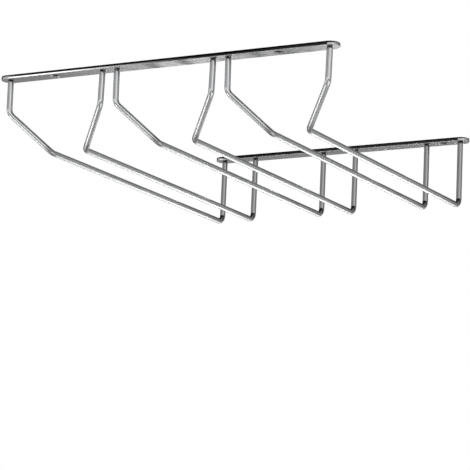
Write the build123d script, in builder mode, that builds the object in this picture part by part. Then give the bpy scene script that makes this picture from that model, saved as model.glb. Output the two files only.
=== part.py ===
from build123d import *
import os

# A rack of bent wire that hangs under a shelf or a cabinet. Stemmed glasses slide in from the front and
# hang by their feet, in rows, each row between a pair of wires. Two flat bars carry the wires.
# Millimetres. +X to the right, +Y to the rear, +Z up. The origin is the middle of the screw pattern, on
# the plane of the bars' top faces, which lie against the cabinet.

# rows
row_count = 3
row_pitch = 106.0

# wires: gaps are from centre to centre across a pair, drops are from the bars' top faces down
wire_diameter = 5.0
leg_gap_at_bar = 92.0
leg_gap_at_bend = 91.1
rail_gap = 33.3
shoulder_drop = 31.8
rail_drop = 62.5
rail_setback = 25.7
shoulder_bend_radius = 8.0
rail_bend_radius = 6.0
rear_bend_radius = 7.0

# each wire end is tapered to a neck, where it is welded to its bar
taper_inset = 0.9
taper_length = 1.5

# bars: the overhang is from the centre of an outer wire to the bar's end
bar_spacing = 322.0
bar_width = 15.0
bar_overhang = 8.4
bar_thickness = 3.2
bar_edge_radius = 0.5

# countersunk screw holes
screw_hole_diameter = 4.5
countersink_diameter = 9.5
countersink_angle = 90.0

wire_radius = wire_diameter / 2
row_span = (row_count - 1) * row_pitch
front_bar_length = row_span + leg_gap_at_bar + 2 * bar_overhang
rear_bar_length = row_span + rail_gap + 2 * bar_overhang
front_y = -bar_spacing / 2
rear_y = bar_spacing / 2
underside_z = -bar_thickness

os.makedirs("parts", exist_ok=True)


def write_part(part, name):
    part.label = name
    export_step(part, f"parts/{name}.step")


def make_bar(name, length, y):
    """A flat strip with round ends, and a countersunk hole over each outer row."""
    with BuildPart() as bar:
        with BuildSketch(Plane.XY.offset(underside_z)):
            with Locations((0, y)):
                SlotOverall(length, bar_width)
        extrude(amount=bar_thickness)
        fillet(bar.faces().filter_by(Axis.Z).edges(), radius=bar_edge_radius)
        with Locations(Plane((0, y, underside_z), z_dir=(0, 0, -1))):
            with GridLocations(row_span, 0, 2, 1):
                CounterSinkHole(
                    screw_hole_diameter / 2,
                    countersink_diameter / 2,
                    counter_sink_angle=countersink_angle,
                )
    write_part(bar.part, name)


def wire_corners(row_x, side):
    """The corners of one wire's centre line, from the front bar round to the rear bar."""
    leg_lean = (leg_gap_at_bar - leg_gap_at_bend) / 2 / (shoulder_drop - bar_thickness)
    start_x = row_x + side * (leg_gap_at_bar / 2 + leg_lean * bar_thickness)
    return [
        (start_x, front_y, 0),
        (row_x + side * leg_gap_at_bend / 2, front_y, -shoulder_drop),
        (row_x + side * rail_gap / 2, front_y + rail_setback, -rail_drop),
        (row_x + side * rail_gap / 2, rear_y, -rail_drop),
        (row_x + side * rail_gap / 2, rear_y, 0),
    ]


def make_wire(name, row_x, side):
    """One bent wire, cut flush with the bars' undersides, each end tapered to the neck of its weld."""
    corners = wire_corners(row_x, side)
    with BuildPart() as wire:
        with BuildLine() as route:
            FilletPolyline(*corners, radius=[shoulder_bend_radius, rail_bend_radius, rear_bend_radius])
        with BuildSketch(Plane(route.line @ 0, z_dir=route.line % 0)):
            Circle(wire_radius)
        sweep()
        split(bisect_by=Plane.XY.offset(underside_z), keep=Keep.BOTTOM)
        for end_index in (0, -1):
            end = wire.faces().filter_by(Axis.Z).sort_by(Axis.Y)[end_index]
            chamfer(end.edges(), length=taper_inset, length2=taper_length, reference=end)
    write_part(wire.part, name)


make_bar("front_bar", front_bar_length, front_y)
make_bar("rear_bar", rear_bar_length, rear_y)
for row in range(row_count):
    row_x = row * row_pitch - row_span / 2
    make_wire(f"row_{row + 1}_left_wire", row_x, -1)
    make_wire(f"row_{row + 1}_right_wire", row_x, 1)
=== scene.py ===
import math
import random
import bmesh
import bpy
from mathutils import Matrix, Vector


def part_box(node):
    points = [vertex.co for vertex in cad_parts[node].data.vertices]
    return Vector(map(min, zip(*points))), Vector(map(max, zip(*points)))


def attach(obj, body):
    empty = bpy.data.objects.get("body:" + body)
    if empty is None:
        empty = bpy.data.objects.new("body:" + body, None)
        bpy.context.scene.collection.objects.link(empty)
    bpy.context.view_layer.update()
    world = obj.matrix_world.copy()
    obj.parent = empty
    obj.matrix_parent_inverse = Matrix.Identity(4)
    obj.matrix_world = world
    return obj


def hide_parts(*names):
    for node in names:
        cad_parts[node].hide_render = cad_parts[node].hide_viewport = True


# A hanging rack of bent chromed wire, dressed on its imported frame. Metres, +X right, +Y rear, +Z up.
# The bars' top faces lie at z = 0 and the wires hang below them.

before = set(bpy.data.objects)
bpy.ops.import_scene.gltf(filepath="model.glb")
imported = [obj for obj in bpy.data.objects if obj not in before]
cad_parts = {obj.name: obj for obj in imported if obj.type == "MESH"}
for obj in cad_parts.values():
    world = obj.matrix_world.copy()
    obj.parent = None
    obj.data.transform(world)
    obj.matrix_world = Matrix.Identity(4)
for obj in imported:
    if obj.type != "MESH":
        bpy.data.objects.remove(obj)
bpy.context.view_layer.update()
body = "root"
rows = {"count": 3, "pitch": 0.106}
rowPlaces = [rows["pitch"] * (i - (rows["count"] - 1) / 2) for i in range(rows["count"])]
print("frame loaded,", len(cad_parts), "nodes")


# A field is one output socket of a node tree, and sums of fields add the tree's Math nodes.
class Field:
    def __init__(self, sheet, socket):
        self.sheet = sheet
        self.socket = socket

    def math(self, operation, *others):
        return self.sheet.maths(operation, self, *others)

    def __add__(self, other):
        return self.math("ADD", other)

    def __sub__(self, other):
        return self.math("SUBTRACT", other)

    def __rsub__(self, other):
        return self.sheet.maths("SUBTRACT", other, self)

    def __mul__(self, other):
        return self.math("MULTIPLY", other)

    __radd__ = __add__
    __rmul__ = __mul__

    def smooth(self, low, high):  # 0 below low, 1 above high, eased between them
        settings = {"interpolation_type": "SMOOTHSTEP"}
        values = {"Value": self, "From Min": low, "From Max": high}
        return self.sheet.node("ShaderNodeMapRange", settings, values)

    def between(self, low, high, soft):  # 1 between low and high, with eased sides
        return self.smooth(low - soft, low + soft) * (1 - self.smooth(high - soft, high + soft))


class Sheet:  # a node tree while it is being written
    def __init__(self, tree):
        self.tree = tree
        tree.nodes.clear()

    def node(self, kind, settings=None, values=None, out=0):
        made = self.tree.nodes.new(kind)
        for name, value in (settings or {}).items():
            setattr(made, name, value)
        for name, value in (values or {}).items():
            if isinstance(value, Field):
                self.tree.links.new(value.socket, made.inputs[name])
            else:
                made.inputs[name].default_value = value
        return Field(self, made.outputs[out]) if made.outputs else None

    def maths(self, operation, *values):
        return self.node("ShaderNodeMath", {"operation": operation}, dict(enumerate(values)))

    def mix(self, factor, a, b):  # between two colours
        return self.node("ShaderNodeMix", {"data_type": "RGBA"}, {0: factor, 6: a, 7: b}, out=2)

    def stretch(self, vector, scale):
        return self.node("ShaderNodeVectorMath", {"operation": "MULTIPLY"}, {0: vector, 1: scale})

    def noise(self, vector, scale, detail=2.0, roughness=0.5):
        values = {"Vector": vector, "Scale": scale, "Detail": detail, "Roughness": roughness}
        return self.node("ShaderNodeTexNoise", None, values)

    def place(self):  # the object's own coordinates, in metres
        return self.node("ShaderNodeTexCoord", out="Object")

    def split(self, vector):  # its three parts
        first = self.node("ShaderNodeSeparateXYZ", None, {0: vector})
        return [Field(self, socket) for socket in first.socket.node.outputs]

    def attribute(self, name, out="Vector"):
        return self.node("ShaderNodeAttribute", {"attribute_name": name}, out=out)

    def bump(self, height, distance, strength=1.0, normal=None):
        values = {"Height": height, "Distance": distance, "Strength": strength}
        if normal:
            values["Normal"] = normal
        return self.node("ShaderNodeBump", None, values)


def newMaterial(name, write):
    material = bpy.data.materials.new(name)
    material.use_nodes = True
    sheet = Sheet(material.node_tree)
    surface = sheet.node("ShaderNodeBsdfPrincipled", None, write(sheet))
    sheet.node("ShaderNodeOutputMaterial", None, {"Surface": surface})
    return material


# Finishes: shades and grain are listed below. Colours are linear, with alpha.

wireFinish = {
    "bright": (0.66, 0.665, 0.675, 1),
    "dull": (0.50, 0.505, 0.515, 1),
    "smudgeShade": 0.5,                   # how far smudges and drawn lines go from bright to dull
    "lineShade": 0.3,
    "paintedRearShade": (0.29, 0.285, 0.28, 1),       # painted shade, darker towards the rear, for the dark surroundings that the rear wires mirror
    "paintedRearShadeFrom": (0.09, 0.158),            # metres to the rear, where the painted shade begins and where it is full
    "paintedRearShadeShare": 0.8,
    "bendShadeColour": (0.16, 0.155, 0.15, 1),   # painted shade, dark in the rail's front bend
    "bendShadeLeast": 0.6,                 # its share where there is no smudge
    "stain": (0.20, 0.175, 0.15, 1),      # heat tint beside a weld
    "stainShare": 0.85,
    "roughness": 0.03,
    "smudgeRoughness": 0.05,
    "lineRoughness": 0.02,
    "heatRoughness": 0.2,
    "drawnShare": 0.6,                    # of the lines, the rest being fine ones
    "lineDepth": 0.0000015,               # metres, as the depth below
    "peelDepth": 0.000016,                # soft waves under the plating
    "drawnGrain": (18, 5200, 5200),       # cells to the metre, along the wire and across it
    "fineGrain": (60, 14000, 14000),
    "peelGrain": (160, 420, 420),
    "smudgeGrain": (42, 130, 130),
    "smudgeRange": (0.35, 0.75),
}


def writeWireChrome(sheet):
    finish = wireFinish
    grain = sheet.attribute("grain")                        # metres along the wire and across it
    heat = sheet.attribute("heat", "Fac")                   # 1 at a weld, falling to 0
    paintedBendShade = sheet.attribute("paintedBendShade", "Fac")               # painted shade, highest in the middle of the rail's front bend
    drawn = sheet.noise(sheet.stretch(grain, finish["drawnGrain"]), 1.0, 2.0)
    fine = sheet.noise(sheet.stretch(grain, finish["fineGrain"]), 1.0, 1.0)
    peel = sheet.noise(sheet.stretch(grain, finish["peelGrain"]), 1.0, 1.0)
    smudge = sheet.noise(sheet.stretch(grain, finish["smudgeGrain"]), 1.0, 3.0, 0.6)
    smudge = smudge.smooth(*finish["smudgeRange"])
    lines = drawn * finish["drawnShare"] + fine * (1 - finish["drawnShare"])
    shade = smudge * finish["smudgeShade"] + lines * finish["lineShade"]
    # painted shade in the rail's front bend, fuller where smudged
    bendShadeShare = paintedBendShade * (finish["bendShadeLeast"] + smudge * (1 - finish["bendShadeLeast"]))
    rearward = sheet.split(sheet.place())[1]
    colour = sheet.mix(shade, finish["bright"], finish["dull"])
    # painted shade: the wires darker towards the rear
    colour = sheet.mix(rearward.smooth(*finish["paintedRearShadeFrom"]) * finish["paintedRearShadeShare"], colour, finish["paintedRearShade"])
    # painted shade in the rail's front bend
    colour = sheet.mix(bendShadeShare, colour, finish["bendShadeColour"])
    colour = sheet.mix(heat * finish["stainShare"], colour, finish["stain"])
    rough = finish["roughness"] + smudge * finish["smudgeRoughness"] + lines * finish["lineRoughness"]
    waves = sheet.bump(peel, finish["peelDepth"])
    return {
        "Base Color": colour,
        "Metallic": 1.0,
        "Roughness": rough + heat * finish["heatRoughness"],
        "Normal": sheet.bump(lines, finish["lineDepth"], 1.0, waves),
    }


barFinish = {
    "bright": (0.50, 0.505, 0.51, 1),
    "dull": (0.36, 0.365, 0.375, 1),
    "smudgeShade": 0.3,                   # how far smudges, clouds and rolled lines go from bright to dull
    "cloudShade": 0.5,
    "lineShade": 0.2,
    "edge": (0.46, 0.46, 0.47, 1),        # the crowned sides
    "edgeLeast": 0.8,                     # its share between the lines
    "bore": (0.012, 0.011, 0.011, 1),     # painted shade, darkening the insides of the screw holes
    "stain": (0.20, 0.175, 0.15, 1),      # heat tint beside a weld
    "stainShare": 0.8,
    "roughness": 0.03,
    "flatRoughness": 0.05,                # more on the flats
    "smudgeRoughness": 0.02,
    "lineRoughness": 0.02,
    "heatRoughness": 0.2,
    "boreRoughness": 0.2,
    "rolledShare": 0.65,                  # of the lines, the rest being fine ones
    "lineDepth": 0.0000004,               # metres, as the depth below
    "peelDepth": 0.000016,                # soft waves under the plating
    "rolledGrain": (9, 520, 520),         # cells to the metre, along the bar and across it
    "fineGrain": (24, 2600, 2600),
    "peelGrain": (60, 200, 200),
    "smudgeGrain": (22, 70, 70),
    "smudgeRange": (0.38, 0.78),
    "cloudGrain": (14, 60, 60),
}


def writeBarChrome(sheet):
    finish = barFinish
    place = sheet.place()
    heat = sheet.attribute("heat", "Fac")                   # 1 at a weld, falling to 0
    side = sheet.attribute("side", "Fac")                   # 1 round the crowned side, 0 on the flats
    bore = sheet.attribute("bore", "Fac")                   # 1 in a screw hole, where shade is painted
    rolled = sheet.noise(sheet.stretch(place, finish["rolledGrain"]), 1.0, 3.0, 0.6)
    fine = sheet.noise(sheet.stretch(place, finish["fineGrain"]), 1.0, 2.0)
    peel = sheet.noise(sheet.stretch(place, finish["peelGrain"]), 1.0, 1.0)
    cloud = sheet.noise(sheet.stretch(place, finish["cloudGrain"]), 1.0, 2.0)
    smudge = sheet.noise(sheet.stretch(place, finish["smudgeGrain"]), 1.0, 1.5)
    smudge = smudge.smooth(*finish["smudgeRange"])
    lines = rolled * finish["rolledShare"] + fine * (1 - finish["rolledShare"])
    shade = smudge * finish["smudgeShade"] + cloud * finish["cloudShade"] + lines * finish["lineShade"]
    edge = side * (finish["edgeLeast"] + lines * (1 - finish["edgeLeast"]))
    colour = sheet.mix(shade, finish["bright"], finish["dull"])
    colour = sheet.mix(edge, colour, finish["edge"])
    # painted shade in the screw holes
    colour = sheet.mix(bore, colour, finish["bore"])
    colour = sheet.mix(heat * finish["stainShare"], colour, finish["stain"])
    rough = finish["roughness"] + smudge * finish["smudgeRoughness"] + lines * finish["lineRoughness"]
    rough = rough + heat * finish["heatRoughness"] + (1 - side) * finish["flatRoughness"]
    waves = sheet.bump(peel, finish["peelDepth"])
    return {
        "Base Color": colour,
        "Metallic": 1.0,
        "Roughness": rough + bore * finish["boreRoughness"],
        "Normal": sheet.bump(lines, finish["lineDepth"], 1.0, waves),
    }


burnt = {
    "dark": (0.018, 0.017, 0.018, 1),
    "scale": (0.075, 0.068, 0.062, 1),
    "scaleRange": (0.35, 0.7),            # of the crust's noise, from dark to scale
    "metallic": 0.8,
    "roughness": 0.42,
    "crustRoughness": 0.25,
    "crustScale": 1400.0,
    "crustShare": 0.7,                    # of the relief, the rest being pits
    "pitScale": 2100.0,
    "grainDepth": 0.00012,
}


def writeWeldMetal(sheet):
    place = sheet.place()
    crust = sheet.noise(place, burnt["crustScale"], 4.0, 0.65)
    cells = {"Vector": place, "Scale": burnt["pitScale"]}
    pits = sheet.node("ShaderNodeTexVoronoi", {"feature": "F1"}, cells)
    height = crust * burnt["crustShare"] + pits * (1 - burnt["crustShare"])
    return {
        "Base Color": sheet.mix(crust.smooth(*burnt["scaleRange"]), burnt["dark"], burnt["scale"]),
        "Metallic": burnt["metallic"],
        "Roughness": burnt["roughness"] + crust * burnt["crustRoughness"],
        "Normal": sheet.bump(height, burnt["grainDepth"]),
    }


wireChrome = newMaterial("wireChrome", writeWireChrome)
barChrome = newMaterial("barChrome", writeBarChrome)
weldMetal = newMaterial("weldMetal", writeWeldMetal)
print("finishes written:", len(bpy.data.materials))


# Meshes

def newPiece(name, mesh, material, slot, *nodes):  # the nodes are the CAD nodes that it stands for
    for face in mesh.polygons:
        face.use_smooth = True
    mesh.materials.append(material)
    piece = bpy.data.objects.new(name, mesh)
    bpy.context.scene.collection.objects.link(piece)
    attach(piece, body)
    if nodes:
        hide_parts(*nodes)
    return piece


def bindRings(bm, rings, closed=False):  # quads between rings of as many vertices
    pairs = zip(rings, rings[1:] + rings[:1]) if closed else zip(rings, rings[1:])
    for low, high in pairs:
        for i in range(len(low)):
            j = (i + 1) % len(low)
            bm.faces.new((low[i], low[j], high[j], high[i]))


def toMesh(bm, name):
    bmesh.ops.recalc_face_normals(bm, faces=bm.faces)
    mesh = bpy.data.meshes.new(name)
    bm.to_mesh(mesh)
    bm.free()
    return mesh


def layAttribute(mesh, name, values):  # one number or one vector for each vertex
    if isinstance(values[0], tuple):
        made = mesh.attributes.new(name, "FLOAT_VECTOR", "POINT")
        made.data.foreach_set("vector", [part for value in values for part in value])
    else:
        made = mesh.attributes.new(name, "FLOAT", "POINT")
        made.data.foreach_set("value", values)


# Wires

wire = {
    "radius": 0.0025,
    "legGapAtBar": 0.092,
    "legGapAtBend": 0.0911,
    "railGap": 0.0333,
    "shoulderDrop": 0.0318,
    "railDrop": 0.0625,
    "railSetback": 0.0257,
    "bendRadii": (0.008, 0.006, 0.007),
    "neck": 0.0016,              # radius of an end where it meets its bar
    "taper": 0.0015,             # length of the narrowing above it
    "taperCurve": 1.15,          # over 1 it bulges a little
    "taperRings": (0, 0.2, 0.45, 0.7, 0.85, 0.95, 1, 1.1, 1.3),    # rings by an end, as shares of the taper
    "buried": 0.0003,            # how far an end reaches into a bar
    "sides": 40,
    "runStep": 0.003,
    "bendStep": 3.0,             # degrees
    "squash": 0.022,             # the section's flattening at a bend
    "heatReach": 0.0034,
    "bendShadeMost": 0.6,                 # the painted shade at its most, by the rail's front bend
    "bendShadeUp": 0.0035,            # how far above the bend its middle lies
    "bendShadeReach": 0.0055,
}
barBox = [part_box("front_bar"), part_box("rear_bar")]
undersideZ = barBox[0][0][2]
frontY = (barBox[0][0][1] + barBox[0][1][1]) / 2
rearY = (barBox[1][0][1] + barBox[1][1][1]) / 2


def wireCorners(rowX, side):
    lean = (wire["legGapAtBar"] - wire["legGapAtBend"]) / 2 / (wire["shoulderDrop"] + undersideZ)
    bury = undersideZ + wire["buried"]
    return [Vector(corner) for corner in (
        (rowX + side * (wire["legGapAtBar"] / 2 + lean * wire["buried"]), frontY, bury),
        (rowX + side * wire["legGapAtBend"] / 2, frontY, -wire["shoulderDrop"]),
        (rowX + side * wire["railGap"] / 2, frontY + wire["railSetback"], -wire["railDrop"]),
        (rowX + side * wire["railGap"] / 2, rearY, -wire["railDrop"]),
        (rowX + side * wire["railGap"] / 2, rearY, bury),
    )]


def wireRoute(corners):
    # Straight runs and round bends, as (point, direction, way to the bend's inside, share of bending).
    route = []

    def addRun(start, end, direction, endFirst=False, endLast=False):
        length = (end - start).length
        steps = max(2, round(length / wire["runStep"]))
        places = {length * i / steps for i in range(steps + 1)}
        close = [wire["buried"] + wire["taper"] * share for share in wire["taperRings"]]
        if endFirst:
            places |= set(close)
        if endLast:
            places |= {length - place for place in close}
        for place in sorted(places):
            route.append((start + direction * place, direction, None, 0.0))

    at = corners[0]
    for i, radius in enumerate(wire["bendRadii"], 1):
        before = (corners[i] - corners[i - 1]).normalized()
        after = (corners[i + 1] - corners[i]).normalized()
        turn = before.angle(after)
        inside = (after - before * math.cos(turn)).normalized()
        first = corners[i] - before * radius * math.tan(turn / 2)
        addRun(at, first, before, endFirst=i == 1)
        steps = math.ceil(math.degrees(turn) / wire["bendStep"])
        for j in range(1, steps):
            angle = turn * j / steps
            point = first + before * radius * math.sin(angle) + inside * radius * (1 - math.cos(angle))
            direction = before * math.cos(angle) + inside * math.sin(angle)
            inward = inside * math.cos(angle) - before * math.sin(angle)
            route.append((point, direction, inward, math.sin(math.pi * j / steps) ** 0.5))
        at = corners[i] + after * radius * math.tan(turn / 2)
    addRun(at, corners[-1], (corners[-1] - at).normalized(), endLast=True)
    return route


def addWire(name, node, rowX, side):
    corners = wireCorners(rowX, side)
    route = wireRoute(corners)
    # the middle of the painted shade, a little above the rail's front bend
    knot = corners[2] + (corners[1] - corners[2]).normalized() * wire["bendShadeUp"]
    bm = bmesh.new()
    rings, grain, heat, paintedBendShade = [], [], [], []
    across = Vector((1, 0, 0)).cross(route[0][1]).normalized()
    last, run = route[0], 0.0
    total = sum((b[0] - a[0]).length for a, b in zip(route, route[1:]))
    for point, direction, inward, bend in route:
        across = last[1].rotation_difference(direction) @ across
        across = (across - direction * across.dot(direction)).normalized()
        other = direction.cross(across)
        run += (point - last[0]).length
        last = (point, direction)
        end = min(run, total - run) - wire["buried"]
        narrow = min(1.0, max(0.0, end / wire["taper"]))
        radius = wire["neck"] + (wire["radius"] - wire["neck"]) * (1 - (1 - narrow) ** wire["taperCurve"])
        ring = []
        for i in range(wire["sides"]):
            angle = math.tau * i / wire["sides"]
            reach = (across * math.cos(angle) + other * math.sin(angle)) * radius
            if inward:
                reach -= inward * reach.dot(inward) * wire["squash"] * bend
            ring.append(bm.verts.new(point + reach))
            grain.append((run, math.cos(angle) * wire["radius"], math.sin(angle) * wire["radius"]))
            heat.append(1 - max(0.0, min(1.0, (end - wire["taper"]) / wire["heatReach"])) ** 0.5)
            paintedBendShade.append(wire["bendShadeMost"] * max(0.0, 1 - ((point - knot).length / wire["bendShadeReach"]) ** 2))
        rings.append(ring)
    bindRings(bm, rings)
    bm.faces.new(rings[0])
    bm.faces.new(rings[-1])
    mesh = toMesh(bm, name)
    layAttribute(mesh, "grain", grain)
    layAttribute(mesh, "heat", heat)
    layAttribute(mesh, "paintedBendShade", paintedBendShade)
    return newPiece(name, mesh, wireChrome, "wire_chrome", node)


for i, rowX in enumerate(rowPlaces, 1):
    addWire(f"row{i}LeftWire", f"row_{i}_left_wire", rowX, -1)
    addWire(f"row{i}RightWire", f"row_{i}_right_wire", rowX, 1)
print("wires bent:", 2 * len(rowPlaces))


# Welds: a small uneven collar where each wire meets a bar.

weld = {
    "reach": (0.00035, 0.00065),     # out from the neck, along the bar
    "drop": (0.00045, 0.0008),       # down the wire
    "ripple": 0.00006,
    "beads": (9, 12),                # ripples in a bead, at least and at most
    "inside": 0.0003,                # how far it reaches into the neck
    "above": 0.0002,                 # into the bar
    "below": 0.0004,                 # and down within the wire
    "sides": 72,
    "steps": 10,
    "flare": 0.55,                   # the taper's slope, which the bead's foot follows
    "seed": 41,
}
draw = random.Random(weld["seed"])


def uneven(low, high, waves=4):  # a value that wanders between low and high round a circle
    parts = [(draw.uniform(0.3, 1.0) / k, k, draw.uniform(0, math.tau)) for k in range(1, waves + 1)]
    most = sum(size for size, k, phase in parts)

    def at(angle):
        share = sum(size * math.sin(k * angle + phase) for size, k, phase in parts) / most
        return low + (high - low) * (share + 1) / 2
    return at


def addWeld(name, foot):
    reach = uneven(*weld["reach"])
    drop = uneven(*weld["drop"])
    beads, phase = draw.randint(*weld["beads"]), draw.uniform(0, math.tau)
    bm = bmesh.new()
    rings = []
    inner = wire["neck"] - weld["inside"]
    for i in range(weld["steps"] + 1):
        t = i / weld["steps"] * math.pi / 2
        ring = []
        for j in range(weld["sides"]):
            angle = math.tau * j / weld["sides"]
            ripple = weld["ripple"] * math.sin(beads * angle + phase) * math.sin(2 * t)
            out = reach(angle) * math.sin(t) + ripple        # a round-bellied bead
            down = drop(angle) * math.cos(t)
            r = wire["neck"] + out + down * weld["flare"]
            ring.append(bm.verts.new(foot + Vector((math.cos(angle) * r, math.sin(angle) * r, -down))))
        rings.append(ring)
    above, below = weld["above"], -weld["below"]
    for r, z in ((wire["neck"] + weld["reach"][0], above), (inner, above), (inner, below)):
        rings.append([
            bm.verts.new(foot + Vector((math.cos(a) * r, math.sin(a) * r, z)))
            for a in (math.tau * j / weld["sides"] for j in range(weld["sides"]))
        ])
    bindRings(bm, rings, closed=True)
    return newPiece(name, toMesh(bm, name), weldMetal, "wire_chrome")


for i, rowX in enumerate(rowPlaces, 1):
    for side, word in ((-1, "Left"), (1, "Right")):
        front = Vector((rowX + side * wire["legGapAtBar"] / 2, frontY, undersideZ))
        rear = Vector((rowX + side * wire["railGap"] / 2, rearY, undersideZ))
        addWeld(f"row{i}{word}FrontWeld", front)
        addWeld(f"row{i}{word}RearWeld", rear)
print("welds laid:", 4 * len(rowPlaces))


# Bars: flat strips with slightly crowned sides, round ends and two countersunk holes each.

bar = {
    "crown": 9.0,                # degrees from upright at the side's upper and lower edge
    "edgeRadius": 0.0003,
    "flatRing": 0.00006,         # from the edge to the close ring on a flat
    "crownSteps": 8,
    "edgeSteps": 7,
    "endSteps": 28,
    "sideStep": 0.012,
    "holeRadius": 0.00225,
    "sinkRadius": 0.00475,
    "sinkRings": (0.0044, 0.0041, 0.0037, 0.0033, 0.0028),    # radii of the rings down a countersink
    "sinkEdge": 0.00015,         # softness of its edges, and the unit of the next three, (outwards, up)
    "rimRings": ((2, 0), (1, 0), (0.3, 0.08), (-0.3, 0.45), (-1, 1.1)),
    "throatRings": ((1, -1), (0.3, -0.15), (0, 1)),
    "topRings": ((0, -1), (1, 0), (2, 0)),
    "holeSides": 64,
    "darkBore": (0.0033, 0.0041),    # from the hole's middle, where the painted shade is full and where it ends
    "heatReach": 0.0035,
}


def stripOutline(box, inset):
    # The strip's outline, inset evenly, as points that stand in the same order for every inset.
    low, high = box
    half = (high[1] - low[1]) / 2
    midY = (high[1] + low[1]) / 2
    points = []
    for centreX, start in ((high[0] - half, -90), (low[0] + half, 90)):
        for i in range(bar["endSteps"] + 1):
            angle = math.radians(start + 180 * i / bar["endSteps"])
            reach = half - inset
            points.append((centreX + math.cos(angle) * reach, midY + math.sin(angle) * reach))
    steps = round((high[0] - low[0] - 2 * half) / bar["sideStep"])
    outline = []
    for (ax, ay), (bx, by) in zip(points, points[1:] + points[:1]):
        count = steps if abs(bx - ax) > half else 1          # only the long sides are divided
        outline += [(ax + (bx - ax) * k / count, ay + (by - ay) * k / count) for k in range(count)]
    return outline


def sideProfile(thickness):
    # (inset, z) from the underside's flat, round the side, to the top's flat, with a close ring on each flat.
    tilt = math.radians(bar["crown"])
    small = bar["edgeRadius"]
    big = (thickness - 2 * small * (1 - math.sin(tilt))) / 2 / math.sin(tilt)
    half = []
    for i in range(bar["crownSteps"] + 1):
        angle = tilt * i / bar["crownSteps"]
        half.append((big * (1 - math.cos(angle)), big * math.sin(angle)))
    cx, cz = half[-1][0] + small * math.cos(tilt), half[-1][1] - small * math.sin(tilt)
    for i in range(1, bar["edgeSteps"] + 1):
        angle = tilt + (math.pi / 2 - tilt) * i / bar["edgeSteps"]
        half.append((cx - small * math.cos(angle), cz + small * math.sin(angle)))
    half.append((half[-1][0] + bar["flatRing"], half[-1][1]))
    middle = -thickness / 2
    return [(x, middle - z) for x, z in reversed(half)] + [(x, middle + z) for x, z in half[1:]]


def sinkProfile(thickness):
    # (radius, z) from the underside's flat, into the countersink, to the top's flat.
    rim, hole, edge = bar["sinkRadius"], bar["holeRadius"], bar["sinkEdge"]
    throatZ = -thickness + rim - hole
    return [
        *((rim + out * edge, -thickness + up * edge) for out, up in bar["rimRings"]),
        *((r, -thickness + rim - r) for r in bar["sinkRings"]),
        *((hole + out * edge, throatZ + up * edge) for out, up in bar["throatRings"]),
        *((hole + out * edge, up * edge) for out, up in bar["topRings"]),
    ]


def addBar(name, node, box, feet):
    thickness = box[1][2] - box[0][2]
    bm = bmesh.new()
    rings = []
    for inset, z in sideProfile(thickness):
        rings.append([bm.verts.new((x, y, z)) for x, y in stripOutline(box, inset)])
    bindRings(bm, rings)
    bottom, top = [rings[0]], [rings[-1]]
    midY = (box[0][1] + box[1][1]) / 2
    for holeX in (rowPlaces[0], rowPlaces[-1]):
        sink = []
        for radius, z in sinkProfile(thickness):
            sink.append([
                bm.verts.new((holeX + math.cos(a) * radius, midY + math.sin(a) * radius, z))
                for a in (math.tau * k / bar["holeSides"] for k in range(bar["holeSides"]))
            ])
        bindRings(bm, sink)
        bottom.append(sink[0])
        top.append(sink[-1])
    for loops, down in ((bottom, -1), (top, 1)):
        edges = []
        for loop in loops:
            edges += [bm.edges.get((a, b)) for a, b in zip(loop, loop[1:] + loop[:1])]
        bmesh.ops.triangle_fill(bm, use_beauty=True, edges=edges, normal=(0, 0, down))
    sideCount = len(rings) * len(rings[0])
    flat = len(rings[0]) * 2
    mesh = toMesh(bm, name)
    heat = []
    for vertex in mesh.vertices:
        near = min((vertex.co - foot).length for foot in feet) - wire["neck"]
        heat.append(max(0.0, 1 - near / bar["heatReach"]) ** 2)
    side = [float(flat <= i < sideCount - flat) for i in range(len(mesh.vertices))]
    holes = [Vector((rowPlaces[i], midY)) for i in (0, -1)]
    darkTo, clearFrom = bar["darkBore"]
    bore = []
    for vertex in mesh.vertices:
        near = min((vertex.co.xy - hole).length for hole in holes)
        bore.append(1 - max(0.0, min(1.0, (near - darkTo) / (clearFrom - darkTo))))
    layAttribute(mesh, "heat", heat)
    layAttribute(mesh, "side", side)
    layAttribute(mesh, "bore", bore)
    return newPiece(name, mesh, barChrome, "bar_chrome", node)


for name, node, box, gap, y in (
    ("frontBar", "front_bar", barBox[0], wire["legGapAtBar"], frontY),
    ("rearBar", "rear_bar", barBox[1], wire["railGap"], rearY),
):
    feet = [Vector((rowX + side * gap / 2, y, undersideZ)) for rowX in rowPlaces for side in (-1, 1)]
    addBar(name, node, box, feet)
print("bars rolled: 2")


# Studio: a pale floor well below the rack, lamps that light pools on it, and a room for the chrome to mirror.

studio = {
    "floorZ": -0.75,
    "floorSize": 12.0,
    "floorPale": (0.80, 0.80, 0.79, 1),
    "floorMottle": (0.74, 0.74, 0.735, 1),
    "floorRoughness": 0.7,
    "mottleScale": 1.3,
    "mottleShare": 0.7,          # of the floor's shade, the rest being specks
    "speckScale": 60.0,
    "speckRoughness": 0.2,
    "speckDepth": 0.0003,
    "speckStrength": 0.3,
    "pools": (                   # x, y, share of power, spread in degrees, and the lamp's width
        (-0.9, -0.76, 0.48, 46, 0.7), (-0.22, 1.45, 0.6, 54, 0.7), (1.3, -0.3, 0.6, 62, 0.7),
        (-1.8, -2.8, 0.8, 62, 0.7), (1.0, -2.8, 0.45, 62, 0.7),
        (-1.355, 2.16, 0.021, 10, 0.3), (-0.8, 2.2, 0.16, 10, 0.3),
    ),
    "poolHeight": 1.2,
    "poolPower": 17.0,
}


def writeFloor(sheet):
    cloud = sheet.noise(sheet.place(), studio["mottleScale"], 3.0)
    speck = sheet.noise(sheet.place(), studio["speckScale"], 3.0)
    shade = cloud * studio["mottleShare"] + speck * (1 - studio["mottleShare"])
    return {
        "Base Color": sheet.mix(shade, studio["floorPale"], studio["floorMottle"]),
        "Roughness": studio["floorRoughness"] + speck * studio["speckRoughness"],
        "Normal": sheet.bump(speck, studio["speckDepth"], studio["speckStrength"]),
    }


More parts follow.
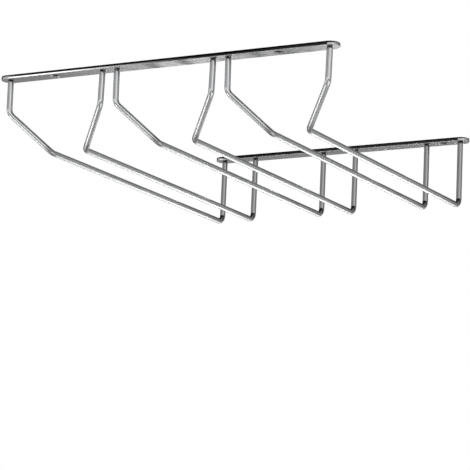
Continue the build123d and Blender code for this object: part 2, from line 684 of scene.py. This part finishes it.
def addFloor():
    bm = bmesh.new()
    bmesh.ops.create_grid(bm, x_segments=8, y_segments=8, size=studio["floorSize"] / 2)
    bmesh.ops.translate(bm, verts=bm.verts, vec=(0, 0, studio["floorZ"]))
    mesh = toMesh(bm, "floor")
    mesh.materials.append(newMaterial("floorPaint", writeFloor))
    floor = bpy.data.objects.new("floor", mesh)
    bpy.context.scene.collection.objects.link(floor)


def addLamp(name, place, target, size, power, spread):
    lamp = bpy.data.lights.new(name, "AREA")
    lamp.size = size
    lamp.energy = power
    lamp.spread = math.radians(spread)
    holder = bpy.data.objects.new(name, lamp)
    holder.location = place
    holder.rotation_euler = (Vector(target) - Vector(place)).to_track_quat("-Z", "Y").to_euler()
    holder.visible_glossy = False
    holder.visible_camera = False
    bpy.context.scene.collection.objects.link(holder)


# Brightness by direction, as the chrome mirrors it. A zone is measured in degrees to the right of
# straight in front or straight behind, and in degrees above level. A span is start, end and softness. A zone
# adds its amount of light, or dims what is there by its share.
room = {
    "level": 0.80,
    "forMatt": 0.48,                                            # the one level that matt surfaces get
    "backdrop": (1.0, 1.0, 1.0, 1),
    "zones": (
        ("front", (36, 62, 5), None, "add", 0.55),              # a tall lamp in front on the right
        ("front", (-118, -52, 9), None, "add", -0.26),          # a dim wall on the left
        ("front", (92, 150, 10), None, "add", -0.24),           # and one on the right
        ("rear", (-95, 27, 7), (2, 38, 4), "dim", 0.75),        # dark behind, which the wires' edges mirror
        ("rear", (-112, -88, 5), (-16, 9, 3), "dim", 0.75),     # low on the left
        ("rear", (26, 60, 6), (3, 34, 6), "dim", 0.35),         # behind on the right
        ("front", (-150, 75, 5), (19, 120, 2), "dim", 0.96),    # dark overhead, which the bars' sides mirror
        ("front", (58, 150, 6), (22, 80, 4), "dim", 0.70),      # and paler on the right
        ("front", (-36.6, -29, 0.8), (10.5, 30, 1), "dim", 0.97),    # dark above the window
        ("front", (-36.2, -32.1, 0.8), (-9, 9.5, 2), "add", 2.4),    # a narrow window
        ("front", (-16, 34, 2), (-12, 9, 2), "add", 0.4),            # a pale panel, low in front
        ("front", (-30.6, -20, 0.8), (-12, 24, 3), "dim", 0.95),     # a dark upright between the two
        ("front", (-112, -50, 6), (-10, 7.5, 2), "add", 0.7),        # a low lamp on the left
    ),
}


def writeRoom(sheet):
    x, y, z = sheet.split(sheet.node("ShaderNodeTexCoord", out="Generated"))
    rise = z.math("ARCSINE") * math.degrees(1)
    turns = {
        "front": x.math("ARCTAN2", 0 - y) * math.degrees(1),
        "rear": x.math("ARCTAN2", y) * math.degrees(1),
    }
    light = room["level"]
    for origin, turnSpan, riseSpan, effect, amount in room["zones"]:
        zone = turns[origin].between(*turnSpan)
        if riseSpan:
            zone = zone * rise.between(*riseSpan)
        if effect == "dim":
            light = light - light * zone * amount
        else:
            light = light + zone * amount
    cameraRay = sheet.node("ShaderNodeLightPath", out="Is Camera Ray")
    mattRay = sheet.node("ShaderNodeLightPath", out="Is Diffuse Ray")
    grey = sheet.node("ShaderNodeCombineColor", None, {0: light, 1: light, 2: light})
    seen = sheet.mix(mattRay, grey, (room["forMatt"],) * 3 + (1,))
    seen = sheet.mix(cameraRay, seen, room["backdrop"])
    sky = sheet.node("ShaderNodeBackground", None, {"Color": seen})
    sheet.node("ShaderNodeOutputWorld", None, {"Surface": sky})


world = bpy.data.worlds.new("room")
world.use_nodes = True
writeRoom(Sheet(world.node_tree))
bpy.context.scene.world = world
bpy.context.scene.view_settings.view_transform = "Standard"
addFloor()
for i, (x, y, share, spread, width) in enumerate(studio["pools"], 1):
    place = (x, y, studio["poolHeight"])
    below = (x, y, studio["floorZ"])
    addLamp(f"poolLamp{i}", place, below, width, studio["poolPower"] * share, spread)
print("studio set")


# Camera: from the right, in front and below, as the rack is seen when it hangs overhead.

camera = {
    "place": (1.002, -1.80558, -0.53185),
    "turn": 29.446,              # degrees to the right of straight in front
    "rise": -11.418,             # degrees, below level
    "roll": -2.597,
    "lens": 185.75,
    "sensor": 36.0,
    "clip": (0.05, 60),
}


def addCamera():
    a, e, r = (math.radians(camera[word]) for word in ("turn", "rise", "roll"))
    right = Vector((math.cos(a), math.sin(a), 0))
    back = Vector((math.sin(a) * math.cos(e), -math.cos(a) * math.cos(e), math.sin(e)))
    up = back.cross(right)
    leaned = right * math.cos(r) - up * math.sin(r)
    upright = right * math.sin(r) + up * math.cos(r)
    eye = bpy.data.cameras.new("eye")
    eye.lens = camera["lens"]
    eye.sensor_width = camera["sensor"]
    eye.clip_start, eye.clip_end = camera["clip"]
    holder = bpy.data.objects.new("eye", eye)
    turned = Matrix((leaned, upright, back)).transposed().to_4x4()
    holder.matrix_world = Matrix.Translation(camera["place"]) @ turned
    bpy.context.scene.collection.objects.link(holder)
    bpy.context.scene.camera = holder


addCamera()
print("camera placed")
